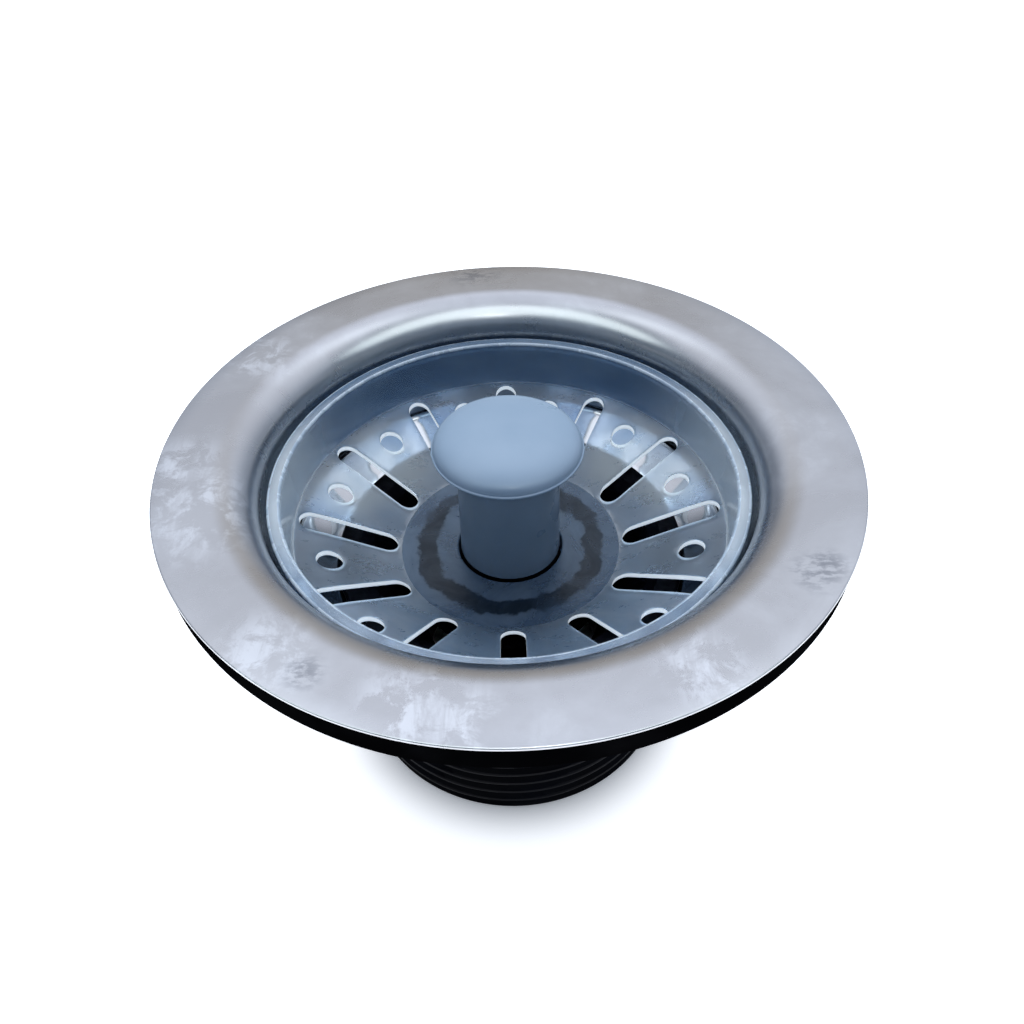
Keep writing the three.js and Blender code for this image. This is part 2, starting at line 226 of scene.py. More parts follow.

# on the basket: painted light on the side walls, and painted highlights and painted shade on the sloping
# floor
WALL_PAINTED_LIGHT = [(0, 39, 34), (180, 39, 27)]
WALL_MIDDLE = 13.0  # the wall's depth half way down
FLOOR_PAINTED_HIGHLIGHTS = [(38, 29, 12), (142, 29, 12), (18, 32, 9), (162, 32, 9)]
FLOOR_PAINTED_SHADE = [(-166, 33, 13), (-14, 33, 13), (90, 36, 14)]
FLOOR_MIDDLE = 20.0  # the sloping floor's depth half way out

ACRYLIC = 1.49  # index of refraction

# the colour sockets of a Mix node, which share their names with its other types
MIX_A = 6
MIX_RESULT = 2


class Nodes:
    """Short calls for building one node material."""

    def __init__(self, name):
        self.material = bpy.data.materials.new(name)
        self.material.use_nodes = True
        self.tree = self.material.node_tree
        self.shader = self.tree.nodes["Principled BSDF"]
        self.place = self.add("ShaderNodeTexCoord").outputs["Object"]

    def add(self, kind, **settings):
        """A new node with its settings, such as operation="LENGTH"."""
        node = self.tree.nodes.new(kind)
        for key, value in settings.items():
            setattr(node, key, value)
        return node

    def link(self, output, target):
        self.tree.links.new(output, target)

    def set(self, **values):
        """Sets the shader's own sockets; underscores stand for spaces."""
        for key, value in values.items():
            self.shader.inputs[key.replace("_", " ")].default_value = value

    def stretched(self, scale):
        """The place on the object, scaled along each axis."""
        mapping = self.add("ShaderNodeMapping")
        mapping.inputs["Scale"].default_value = scale
        self.link(self.place, mapping.inputs["Vector"])
        return mapping.outputs["Vector"]

    def noise(self, scale, detail=4.0, roughness=0.5, stretch=(1, 1, 1), distortion=0.0):
        """Noise from 0 to 1. A larger scale is finer. A smaller stretch draws it out along that axis."""
        node = self.add("ShaderNodeTexNoise")
        node.inputs["Scale"].default_value = scale
        node.inputs["Detail"].default_value = detail
        node.inputs["Roughness"].default_value = roughness
        node.inputs["Distortion"].default_value = distortion
        self.link(self.stretched(stretch), node.inputs["Vector"])
        return node.outputs["Fac"]

    def ranged(self, value, low, high, to_low, to_high):
        """Turns low to high smoothly into to_low to to_high."""
        node = self.add("ShaderNodeMapRange", interpolation_type="SMOOTHSTEP")
        limits = {"From Min": low, "From Max": high, "To Min": to_low, "To Max": to_high}
        for key, number in limits.items():
            node.inputs[key].default_value = number
        self.link(value, node.inputs["Value"])
        return node.outputs["Result"]

    def maths(self, operation, a, b):
        """Two values, each a number or an output, put through one operation."""
        node = self.add("ShaderNodeMath", operation=operation)
        for socket, value in zip(node.inputs, (a, b)):
            if isinstance(value, (int, float)):
                socket.default_value = value
            else:
                self.link(value, socket)
        return node.outputs["Value"]

    def blended(self, factor, a, b):
        """Colour a where the factor is 0 and b where it is 1; each is a tuple or an output."""
        node = self.add("ShaderNodeMix", data_type="RGBA")
        self.link(factor, node.inputs["Factor"])
        for socket, value in zip(node.inputs[MIX_A:], (a, b)):
            if isinstance(value, tuple):
                socket.default_value = (*value, 1)
            else:
                self.link(value, socket)
        return node.outputs[MIX_RESULT]

    def from_axis(self):
        """The distance from the part's axis, in metres."""
        node = self.add("ShaderNodeVectorMath", operation="LENGTH")
        self.link(self.stretched((1, 1, 0)), node.inputs[0])
        return node.outputs["Value"]

    def band(self, distance, inner, outer, edge):
        """1 between two distances, with soft edges of a width inside them."""
        rise = self.ranged(distance, inner, inner + edge, 0, 1)
        fall = self.ranged(distance, outer - edge, outer, 1, 0)
        return self.maths("MULTIPLY", rise, fall)

    def height(self):
        """The height in the frame, in metres."""
        node = self.add("ShaderNodeSeparateXYZ")
        self.link(self.place, node.inputs[0])
        return node.outputs["Z"]

    def near(self, azimuth, radius, reach, softness, depth=0.0):
        """1 at a place and 0 beyond its reach. softness is the share of the reach that it falls over."""
        node = self.add("ShaderNodeVectorMath", operation="DISTANCE")
        self.link(self.place, node.inputs[0])
        node.inputs[1].default_value = place(radius, depth, math.radians(azimuth))
        return self.ranged(node.outputs["Value"], reach * (1 - softness) * MM, reach * MM, 1, 0)

    def placed(self, tone, places, softness, depth, colour):
        """Blends a colour into a tone at a list of places."""
        for azimuth, radius, reach in places:
            tone = self.blended(self.near(azimuth, radius, reach, softness, depth), tone, colour)
        return tone

    def bump(self, height, strength, distance):
        """Raises the surface by up to a distance in metres."""
        node = self.add("ShaderNodeBump")
        node.inputs["Strength"].default_value = strength
        node.inputs["Distance"].default_value = distance
        self.link(height, node.inputs["Height"])
        self.link(node.outputs["Normal"], self.shader.inputs["Normal"])

    def colour(self, output):
        self.link(output, self.shader.inputs["Base Color"])

    def roughness(self, output):
        self.link(output, self.shader.inputs["Roughness"])


def satin_steel():
    """The rim and bowl: brushed, clouded and scuffed on the rim, and polished deep in the bowl, with
    painted shade in the gap beside the basket's lip and on the bowl's floor under the basket.
    """
    n = Nodes("satin_steel")
    n.set(Metallic=1.0)
    clouds = n.noise(45, detail=5, roughness=0.6, distortion=0.6)
    grain = n.noise(900, detail=3, roughness=0.6, stretch=(0.12, 1, 0.12))
    marks = pale_marks(n, clouds)
    tone = n.blended(n.ranged(clouds, 0.35, 0.65, 0, 1), (0.575, 0.575, 0.59), (0.65, 0.655, 0.675))
    tone = n.blended(n.maths("MULTIPLY", marks, 0.9), tone, (0.90, 0.92, 0.96))
    tone = dark_scuffs(n, tone)
    # painted shade on the bowl's floor, at its sides under the basket
    tone = n.placed(tone, DISH_PAINTED_SHADE, 0.6, DISH_MIDDLE, (0.05, 0.065, 0.085))
    # painted shade in the gap beside the basket's lip
    n.colour(n.blended(painted_gap_shade(n), tone, (0.25, 0.27, 0.30)))
    rough = n.maths("ADD", n.ranged(clouds, 0.3, 0.7, 0.23, 0.29), n.maths("MULTIPLY", marks, 0.14))
    rough = n.maths("ADD", rough, n.maths("MULTIPLY", grain, 0.05))
    polish = n.ranged(n.height(), RIM_TOP - 12 * MM, RIM_TOP - 5 * MM, 0.42, 1.0)
    n.roughness(n.maths("MULTIPLY", rough, polish))
    n.bump(grain, 0.03, 0.00002)
    return n.material


def pale_marks(n, clouds):
    """Streaky pale wear: strong at the worn patches, faint in the clouds elsewhere."""
    mottle = n.noise(200, detail=8, roughness=0.7, distortion=0.4)
    streaks = n.noise(420, detail=6, roughness=0.7, stretch=(1, 0.22, 1), distortion=0.4)
    worn = n.maths("MULTIPLY", n.ranged(mottle, 0.44, 0.58, 0, 1), n.ranged(streaks, 0.35, 0.6, 0.35, 1))
    places = n.ranged(clouds, 0.5, 0.7, 0.0, 0.3)
    for azimuth, radius, reach in WORN_PATCHES:
        places = n.maths("MAXIMUM", places, n.near(azimuth, radius, reach, 0.8))
    return n.maths("MULTIPLY", worn, places)


def dark_scuffs(n, tone):
    """Darkens a tone by short scratches at each scuff."""
    scratches = n.ranged(n.noise(900, detail=6, roughness=0.65, stretch=(0.5, 1, 1)), 0.40, 0.60, 0, 0.8)
    for azimuth, radius, reach in DARK_SCUFFS:
        scuff = n.maths("MULTIPLY", scratches, n.near(azimuth, radius, reach, 0.9))
        tone = n.blended(scuff, tone, (0.33, 0.34, 0.37))
    return tone


def painted_gap_shade(n):
    """Where painted shade darkens the gap beside the basket's lip, as a factor of up to 0.8."""
    above_slope = n.ranged(n.height(), RIM_TOP - 16 * MM, RIM_TOP - 12 * MM, 0, 0.8)
    below_roll = n.ranged(n.height(), RIM_TOP - 6 * MM, RIM_TOP - 3 * MM, 1, 0)
    return n.maths("MULTIPLY", below_roll, above_slope)


def black_rubber():
    """The gaskets and seals."""
    n = Nodes("black_rubber")
    n.set(Specular_IOR_Level=0.0)
    pores = n.noise(2600, detail=2)
    bloom = n.noise(70, detail=4, roughness=0.6)
    tone = n.blended(n.ranged(bloom, 0.4, 0.75, 0, 1), (0.0012, 0.0012, 0.0015), (0.0035, 0.0035, 0.004))
    n.colour(tone)
    n.roughness(n.ranged(bloom, 0.3, 0.7, 0.55, 0.72))
    n.bump(pores, 0.25, 0.00004)
    return n.material


def black_plastic():
    """The moulded drain body, outlet seat, stopper and nut."""
    n = Nodes("black_plastic")
    n.set(Specular_IOR_Level=0.02)
    texture = n.noise(1800, detail=3)
    haze = n.noise(60, detail=4)
    n.colour(n.blended(n.ranged(haze, 0.4, 0.7, 0, 1), (0.0015, 0.0015, 0.003), (0.004, 0.0045, 0.007)))
    n.roughness(n.ranged(haze, 0.3, 0.7, 0.28, 0.42))
    n.bump(texture, 0.12, 0.00003)
    return n.material


def clear_plastic():
    """The basket's wall and lip, with painted light on the side walls."""
    n = Nodes("clear_plastic")
    n.set(Transmission_Weight=0.70, IOR=ACRYLIC)
    haze = n.noise(55, detail=5, roughness=0.6, distortion=0.8)
    wipes = n.noise(160, detail=5, roughness=0.65, stretch=(0.4, 1, 1))
    tone = n.blended(n.ranged(haze, 0.35, 0.7, 0, 1), (0.25, 0.385, 0.57), (0.41, 0.55, 0.72))
    # painted light: the left and right walls are paler
    n.colour(n.placed(tone, WALL_PAINTED_LIGHT, 0.7, WALL_MIDDLE, (0.83, 0.92, 1.0)))
    n.roughness(n.ranged(wipes, 0.35, 0.7, 0.12, 0.26))
    n.bump(wipes, 0.02, 0.00004)
    return n.material


def hazed_plastic():
    """The basket's sloping floor, where scouring has dulled the same plastic, with painted highlights at
    the back-left and back-right and painted shade at the sides and back.
    """
    n = Nodes("hazed_plastic")
    n.set(Transmission_Weight=0.88, IOR=ACRYLIC, Specular_IOR_Level=0.5)
    n.set(Coat_Weight=0.15, Coat_Roughness=0.22)
    haze = n.noise(70, detail=6, roughness=0.65, distortion=1.0)
    wipes = n.noise(260, detail=5, roughness=0.7, stretch=(0.4, 1, 1))
    tone = n.blended(n.ranged(haze, 0.35, 0.7, 0, 1), (0.42, 0.59, 0.80), (0.66, 0.80, 0.97))
    # painted highlights at the floor's back-left and back-right
    tone = n.placed(tone, FLOOR_PAINTED_HIGHLIGHTS, 0.7, FLOOR_MIDDLE, (0.81, 0.92, 1.0))
    # painted shade at the floor's sides and back
    n.colour(n.placed(tone, FLOOR_PAINTED_SHADE, 0.7, FLOOR_MIDDLE, (0.36, 0.48, 0.62)))
    n.roughness(n.ranged(wipes, 0.35, 0.75, 0.26, 0.42))
    n.bump(wipes, 0.05, 0.00004)
    return n.material


def lip_painted_highlight():
    """The corners of the basket's lip, with a painted highlight."""
    n = Nodes("lip_painted_highlight")
    n.set(Transmission_Weight=0.35, IOR=ACRYLIC)
    highlight_noise = n.noise(300, detail=4, stretch=(1, 1, 0.3))
    # painted highlight on the lip's corners
    n.colour(n.blended(n.ranged(highlight_noise, 0.35, 0.65, 0, 1), (0.50, 0.62, 0.76), (0.72, 0.82, 0.92)))
    n.roughness(n.ranged(highlight_noise, 0.3, 0.7, 0.2, 0.34))
    return n.material


def middle_with_painted_shade():
    """The middle of the basket's floor, dark, with a ragged ring of painted shade round the foot of the
    knob.
    """
    ring_inner, ring_outer, ring_edge = 16.2 * MM, 20.5 * MM, 0.8 * MM
    raggedness = 6 * MM
    n = Nodes("middle_with_painted_shade")
    n.set(Transmission_Weight=0.6, IOR=1.2, Specular_IOR_Level=0.1)  # mirrors less than the bare plastic around it
    haze = n.noise(90, detail=6, roughness=0.65, distortion=1.0)
    tone = n.blended(n.ranged(haze, 0.35, 0.7, 0, 1), (0.10, 0.16, 0.25), (0.19, 0.27, 0.38))
    wander = n.maths("MULTIPLY", n.noise(170, detail=5, roughness=0.6), raggedness)
    # painted shade: a ragged dark ring round the foot of the knob
    ring = n.band(n.maths("ADD", n.from_axis(), wander), ring_inner, ring_outer, ring_edge)
    ring = n.maths("MULTIPLY", ring, n.ranged(haze, 0.3, 0.6, 0.55, 1))
    n.colour(n.blended(ring, tone, (0.020, 0.036, 0.062)))
    n.roughness(n.ranged(haze, 0.35, 0.75, 0.24, 0.40))
    n.bump(haze, 0.04, 0.00004)
    return n.material


def bright_edge():
    """Cut edges, where light led through the clear plastic comes out."""
    n = Nodes("bright_edge")
    n.set(Transmission_Weight=0.1, IOR=ACRYLIC, Emission_Strength=0.45)
    grit = n.noise(1500, detail=3)
    n.colour(n.blended(grit, (0.80, 0.86, 0.92), (0.93, 0.96, 1.0)))
    n.link(n.blended(grit, (0.75, 0.88, 1.0), (0.90, 0.97, 1.0)), n.shader.inputs["Emission Color"])
    n.roughness(n.ranged(grit, 0.3, 0.7, 0.3, 0.5))
    n.bump(grit, 0.2, 0.00004)
    return n.material


def grey_plastic(name="grey_plastic", shade=1.0):
    """The knob's moulded plastic; a shade below 1 darkens it, for a copy in painted shade."""
    n = Nodes(name)
    cloud = n.noise(80, detail=4)
    texture = n.noise(2200, detail=2)
    low = tuple(shade * part for part in (0.27, 0.37, 0.49))
    high = tuple(shade * part for part in (0.30, 0.40, 0.52))
    n.colour(n.blended(n.ranged(cloud, 0.35, 0.7, 0, 1), low, high))
    n.roughness(n.ranged(cloud, 0.3, 0.7, 0.26, 0.36))
    n.bump(texture, 0.06, 0.00003)
    return n.material


def hardware_steel():
    """The spindle, its washer and its nut."""
    n = Nodes("hardware_steel")
    n.set(Metallic=1.0)
    cloud = n.noise(240, detail=4)
    n.colour(n.blended(cloud, (0.50, 0.50, 0.49), (0.66, 0.66, 0.66)))
    n.roughness(n.ranged(cloud, 0.3, 0.7, 0.22, 0.36))
    n.bump(n.noise(1800), 0.1, 0.00002)
    return n.material


def white_plastic():
    """The slip ring under the deck gasket."""
    n = Nodes("white_plastic")
    cloud = n.noise(90, detail=4)
    n.colour(n.blended(cloud, (0.66, 0.66, 0.63), (0.78, 0.78, 0.75)))
    n.roughness(n.ranged(cloud, 0.3, 0.7, 0.45, 0.6))
    n.bump(n.noise(1500), 0.1, 0.00003)
    return n.material


MATERIALS = {
    "satin_steel": satin_steel(),
    "black_rubber": black_rubber(),
    "black_plastic": black_plastic(),
    "clear_plastic": clear_plastic(),
    "grey_plastic": grey_plastic(),
    "hardware_steel": hardware_steel(),
    "white_plastic": white_plastic(),
}


def stand_in(piece, node, body, slot, *more_materials):
    """Gives a piece its material and body, and shows it in place of a CAD node."""
    for material in (MATERIALS[slot], *more_materials):
        piece.data.materials.append(material)
    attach(piece, body)
    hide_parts(node)


# ---- The drain that is fixed to the sink ----

STEEL = 0.7  # thickness of the sheet
ROLL_START = 48.0  # radius where the flat rim begins to roll down
THROAT = 41.6  # radius where the roll has become the steep wall
ROLL = ROLL_START - THROAT
DISH_CORNER = (38.2, 21.2)  # where the steep wall turns into the sloping floor
DISH_FLOOR_RADIUS = 31.7
DISH_FLOOR_DEPTH = 25.0
DISH_HOLE = 28.2
CLAMP_BORE = 44.9  # of the rings that slide on the drain body's collar


def dish_wall(offset):
    """The steep wall, its corner and the sloping floor, moved outwards by an offset."""
    corner_radius, corner_depth = DISH_CORNER

    def moved(radius, depth, outwards, down):
        return radius + offset * outwards, depth + offset * down

    steep_end = moved(corner_radius + 0.35, corner_depth - 1.0, 1, 0)
    slope_start = moved(corner_radius - 0.5, corner_depth + 0.3, 0.45, 0.9)
    slope_end = moved(DISH_FLOOR_RADIUS, DISH_FLOOR_DEPTH, 0.2, 1)
    steep = curve(moved(THROAT, ROLL, 1, 0), moved(THROAT - 0.1, 11.5, 1, 0),
                  moved(corner_radius + 1.4, corner_depth - 5, 1, 0), steep_end, 24)
    bend = curve(steep_end, moved(corner_radius + 0.3, corner_depth - 0.4, 0.95, 0.2),
                 moved(corner_radius + 0.05, corner_depth - 0.02, 0.6, 0.7), slope_start, 8)
    slope = [tuple(Vector(slope_start).lerp(Vector(slope_end), i / 6)) for i in range(1, 7)]
    return steep + bend + slope


def flange_dish():
    """The steel rim and bowl, pressed from one sheet."""
    rim = node_radius("flange_dish")

    def skin(offset):
        roll = arc(ROLL_START, ROLL, ROLL - offset, 90, 180, 24)
        return roll + dish_wall(offset) + [(DISH_HOLE, DISH_FLOOR_DEPTH + offset)]

    edge = arc(rim - STEEL / 2, STEEL / 2, STEEL / 2, -90, 90, 8)
    flat = [(rim - 3, 0), (rim - 6, 0)]
    outline = edge + flat + skin(0) + skin(STEEL)[::-1] + [(rim - 6, STEEL), (rim - 3, STEEL)]
    stand_in(turned("flange_dish_shell", outline, sides=240), "flange_dish", "drain", "satin_steel")


def plain_ring(name, node, body, slot, inner, corner=0.5, sides=160):
    """A flat ring with round corners, as deep and as wide as its node."""
    top, bottom = node_depths(node)
    outer = node_radius(node)
    corner = min(corner, (bottom - top) * 0.35)
    outline = rounded([(inner, top, corner), (outer, top, corner), (outer, bottom, corner),
                       (inner, bottom, corner)])
    stand_in(turned(name, outline, sides), node, body, slot)


def rim_gasket():
    """The ring under the rim, chamfered where the steel rolls down past it."""
    inner, chamfer_end, chamfer_drop = 45.6, 47.3, 0.9
    top, bottom = node_depths("rim_gasket")
    outer = node_radius("rim_gasket")
    outline = rounded([(inner, bottom, 0.4), (inner, top + chamfer_drop, 0.3), (chamfer_end, top, 0.3),
                       (outer, top, 0.3), (outer, bottom, 0.6)])
    stand_in(turned("rim_gasket_ring", outline, 200), "rim_gasket", "drain", "black_rubber")


def drain_body():
    """The moulded cup with its threaded collar, and the threaded tail below it."""
    root, crest, bore = 43.6, 44.4, 42.7
    collar_top, shoulder = 5.9, 28.2
    tail_root, tail_crest, tail_bore = 30.1, 31.2, 27.2
    seat_top, seat_under = 27.9, 31.5
    end = node_depths("drain_body")[1]
    corners = [(bore, collar_top, 0.2), (root, collar_top, 0.3), (root, shoulder, 1.4), (32.4, 32.4, 1.2),
               (tail_root, 33.7, 1.6), (tail_root, end, 0.7), (tail_bore, end, 0.4),
               (tail_bore, seat_under), (DISH_HOLE, seat_under), (DISH_HOLE, seat_top), (35.2, seat_top),
               (bore, 24.2)]
    outline = refined(rounded(corners), 0.34)
    collar_thread = thread(root, crest, pitch=4.0, top=7.6, bottom=25.6)
    tail_thread = thread(tail_root, tail_crest, pitch=3.0, top=47.6, bottom=end + 1.2)

    def shape(radius, depth, angle):
        return tail_thread(collar_thread(radius, depth, angle), depth, angle)

    stand_in(turned("drain_body_shell", outline, 200, shape), "drain_body", "drain", "black_plastic")


def union(base, others):
    """Joins closed pieces into base."""
    for other in others:
        modifier = base.modifiers.new("join", "BOOLEAN")
        modifier.operation = "UNION"
        modifier.solver = "EXACT"
        modifier.object = other
    bpy.context.view_layer.update()
    evaluated = base.evaluated_get(bpy.context.evaluated_depsgraph_get())
    mesh = bpy.data.meshes.new_from_object(evaluated)
    base.modifiers.clear()
    base.data = mesh
    for other in others:
        bpy.data.objects.remove(other)
    base.data.shade_smooth()
    base.data.set_sharp_from_angle(angle=math.radians(SHARP_DEGREES))
    return base


def block(name, size, corner, centre, angle):
    """A bar of a length, width and height with round edges, turned about the vertical."""
    bm = bmesh.new()
    bmesh.ops.create_cube(bm, size=1.0)
    for vertex in bm.verts:
        vertex.co = Vector([share * length for share, length in zip(vertex.co, size)]) * MM
    bmesh.ops.bevel(bm, geom=bm.edges[:], offset=corner * MM, segments=3, profile=0.5, affect="EDGES")
    radius, depth = centre
    bmesh.ops.translate(bm, verts=bm.verts, vec=(radius * MM, 0, RIM_TOP - depth * MM))
    bmesh.ops.rotate(bm, verts=bm.verts, matrix=Matrix.Rotation(angle, 3, "Z"))
    return finish_mesh(name, bm)


def outlet_seat():
    """The funnel that clamps the bowl to the body, with the stopper's seat and the spindle's guide."""
    throat, skirt, flange, bore = 17.2, 19.4, 31.4, 27.9
    hub_bore, hub_radius, hub_height = 3.5, 6.2, 7
    arm_width, arm_height, arms, first_arm = 2.4, 5, 3, math.radians(30)
    top, bottom = node_depths("outlet_seat")
    corners = [(27.6, top + 0.2, 0.5), (31, top, 0.15), (flange, top + 0.4, 0.2), (flange, 24.7),
               (bore, 24.7), (bore, 31.2, 0.3), (25.9, 31.2, 0.4), (skirt, 44, 1), (skirt, bottom, 0.5),
               (throat, bottom, 0.5), (throat, 43, 1), (24.8, 27.5, 1), (25.6, 25.6, 0.5)]
    funnel = turned("outlet_seat_insert", rounded(corners), 144)
    hub_top = bottom - hub_height
    hub_corners = [(hub_bore, hub_top, 0.3), (hub_radius, hub_top, 0.6), (hub_radius, bottom, 0.6),
                   (hub_bore, bottom, 0.3)]
    parts = [turned("seat_hub", rounded(hub_corners), 64)]
    arm_centre = ((throat + 5) / 2, bottom - 2.6)
    for i in range(arms):
        angle = first_arm + FULL_TURN * i / arms
        parts.append(block("seat_arm", (throat - 4, arm_width, arm_height), 0.5, arm_centre, angle))
    stand_in(union(funnel, parts), "outlet_seat", "drain", "black_plastic")


def locknut():
    """The nut under the sink, with a flange and grips round its skirt."""
    bore, flange, skirt = 44.8, 49.8, 46.6
    grips, grip_height = 16, 0.75
    top, bottom = node_depths("locknut")
    skirt_top = top + 2.4

    def gripped(radius, depth, angle):
        if radius < bore + 1 or depth < skirt_top:
            return radius
        swell = smooth_step(math.cos(grips * (angle - math.pi / grips)), 0.55, 0.85)
        fade = 1 - smooth_step(depth, bottom - 1.2, bottom - 0.4)
        return radius + grip_height * swell * fade

    corners = [(bore, top, 0.3), (flange, top, 0.4), (flange, top + 1.6, 0.4),
               (skirt + 0.5, top + 2.2, 0.6), (skirt, bottom, 0.5), (bore, bottom, 0.3)]
    outline = refined(rounded(corners), 0.5)
    stand_in(turned("locknut_ring", outline, 320, gripped), "locknut", "nut", "black_plastic")


# ---- The basket ----

SLOTS = 12  # with a hole between each two
FIRST_SLOT = -math.pi / 2  # a slot points to -Y
SLOT_HALF_WIDTH = 2.1
SLOT_ENDS = (20.6, 37.4)
SLOT_RUN = (SLOT_ENDS[0] + SLOT_HALF_WIDTH, SLOT_ENDS[1] - SLOT_HALF_WIDTH)  # its round ends' centres
HOLE_CIRCLE = 32.4
HOLE_RADIUS = 2.2
WALL = 1.3  # thickness of the plastic
MIDDLE_RADIUS = 19.0  # of the floor's flat middle
MIDDLE_DEPTH = 24.5
STEM_GUIDE = 9.5  # radius of the bore that the knob's stem slides in
WALL_FOOT = (39.7, MIDDLE_DEPTH - 10.2)  # where the outside of the wall begins
EDGE_ROUND = 0.22  # of the slots' and holes' rims
RIM_PROFILE = [(0.0, EDGE_ROUND), (0.3 * EDGE_ROUND, 0.3 * EDGE_ROUND), (EDGE_ROUND, 0.0)]  # outwards, down
PATCH = (19.9, 37.85)  # the stretch of floor that the slots and holes are cut in
PATCH_SIDES = 144
PATCH_RINGS = 19  # rings of points within the patch
RING_SPACING = 0.9
CLEAR, CUT_EDGE, HAZED, SHADED_MIDDLE, LIP_PAINTED_HIGHLIGHT = range(5)  # the basket's material slots


def floor_profiles():
    """The upper and lower faces of the basket's sloping floor, as (radius, depth) running outwards."""
    upper_rises = [(MIDDLE_RADIUS, 0), (PATCH[0], 0.2), (20.9, 0.65), (32.4, 6.1), (PATCH[1], 8.3)]
    upper = [(radius, MIDDLE_DEPTH - rise) for radius, rise in upper_rises]
    lower_rises = [(MIDDLE_RADIUS, -WALL), (20.2, 0.3 - WALL), (33.0, 4.9), (36.4, 6.3)]
    lower = [(radius, MIDDLE_DEPTH - rise) for radius, rise in lower_rises]
    lower += curve(lower[-1], (38.1, MIDDLE_DEPTH - 7.0), (39.5, MIDDLE_DEPTH - 8.4), WALL_FOOT, 8)
    return upper, lower


def depth_at(profile, radius):
    """The depth at a radius on a profile that runs outwards."""
    for (r0, d0), (r1, d1) in zip(profile, profile[1:]):
        if r0 <= radius <= r1:
            return d0 + (d1 - d0) * (radius - r0) / max(r1 - r0, 1e-9)
    return profile[0][1] if radius < profile[0][0] else profile[-1][1]


def circle(radius, steps, shift=0.0, centre=0.0):
    """Plan points round a circle centred on the X axis. shift turns them on by a share of a step."""
    angles = [FULL_TURN * (i + shift) / steps for i in range(steps)]
    return [(centre + radius * math.cos(a), radius * math.sin(a)) for a in angles]


def half_circle(radius, steps, centre, from_angle):
    """Plan points of half a circle centred on the X axis, leaving out its end."""
    angles = [from_angle + math.pi * i / steps for i in range(steps)]
    return [(centre + radius * math.cos(a), radius * math.sin(a)) for a in angles]


def spun(points, angle):
    """Plan points turned about the axis."""
    c, s = math.cos(angle), math.sin(angle)
    return [(x * c - y * s, x * s + y * c) for x, y in points]


def slot_loop(offset, angle):
    """Plan points round a slot whose edge is moved outwards by an offset."""
    near, far = SLOT_RUN
    half = SLOT_HALF_WIDTH + offset
    end_steps, side_steps = 14, 12
    points = half_circle(half, end_steps, far, -math.pi / 2)
    points += [(far + (near - far) * i / side_steps, half) for i in range(side_steps)]
    points += half_circle(half, end_steps, near, math.pi / 2)
    points += [(near + (far - near) * i / side_steps, -half) for i in range(side_steps)]
    return spun(points, angle)


def hole_loop(offset, angle):
    """Plan points round a hole whose edge is moved outwards by an offset."""
    return spun(circle(HOLE_RADIUS + offset, steps=24, centre=HOLE_CIRCLE), angle)


def gap_to_cuts(x, y):
    """Distance in plan from a point to the nearest slot or hole edge, negative inside one."""
    radius, angle = math.hypot(x, y), math.atan2(y, x)
    step = FULL_TURN / SLOTS
    near, far = SLOT_RUN
    from_slot = angle - step * round(angle / step)
    u, v = radius * math.cos(from_slot), radius * math.sin(from_slot)
    to_slot = math.hypot(u - min(max(u, near), far), v) - SLOT_HALF_WIDTH
    from_hole = angle - step * (math.floor(angle / step) + 0.5)
    u, v = radius * math.cos(from_hole), radius * math.sin(from_hole)
    to_hole = math.hypot(u - HOLE_CIRCLE, v) - HOLE_RADIUS
    return min(to_slot, to_hole)


class Plan:
    """Points of the floor patch seen from above, with the edges that its mesh has to keep."""

    def __init__(self):
        self.points = []
        self.drops = []  # how far each point lies back from its face, which rounds the cuts' rims
        self.edges = []

    def add_points(self, points, drop=0.0):
        self.points.extend(Vector(point) for point in points)
        self.drops.extend([drop] * len(points))

    def add_loop(self, points, drop=0.0):
        """Adds a closed loop and returns the numbers of its points."""
        first, count = len(self.points), len(points)
        self.add_points(points, drop)
        self.edges.extend((first + i, first + (i + 1) % count) for i in range(count))
        return range(first, first + count)


def floor_plan():
    """The plan of the floor patch, and for each slot and hole the loop where its cut wall begins."""
    plan = Plan()
    for radius in PATCH:
        plan.add_loop(circle(radius, PATCH_SIDES))
    cuts = []
    for i in range(SLOTS):
        slot_angle = FIRST_SLOT + FULL_TURN * i / SLOTS
        hole_angle = slot_angle + math.pi / SLOTS
        for make, angle in ((slot_loop, slot_angle), (hole_loop, hole_angle)):
            loops = [plan.add_loop(make(outwards, angle), drop) for outwards, drop in RIM_PROFILE]
            cuts.append(loops[0])
    clear_of_rims = EDGE_ROUND + 0.35
    for k in range(PATCH_RINGS):
        ring = circle(PATCH[0] + RING_SPACING * (k + 1), PATCH_SIDES, shift=0.5 * (k % 2))
        plan.add_points([point for point in ring if gap_to_cuts(*point) > clear_of_rims])
    return plan, cuts


def filled(plan):
    """The plan filled with triangles outside its cuts.

    Returns the points, their drops, the triangles and each plan point's new number.
    """
    slack = 0.02  # lets in slivers of the inner circle too, which are too thin to be seen
    points, _, triangles, sources, _, _ = delaunay_2d_cdt(plan.points, plan.edges, [], 0, 1e-5)
    drops = [plan.drops[source[0]] if source else 0.0 for source in sources]
    number_of = {old: new for new, source in enumerate(sources) for old in source}
    kept = []
    for triangle in triangles:
        x = sum(points[i].x for i in triangle) / 3
        y = sum(points[i].y for i in triangle) / 3
        if gap_to_cuts(x, y) > 0 and PATCH[0] - slack < math.hypot(x, y) < PATCH[1]:
            kept.append(triangle)
    return points, drops, kept, number_of


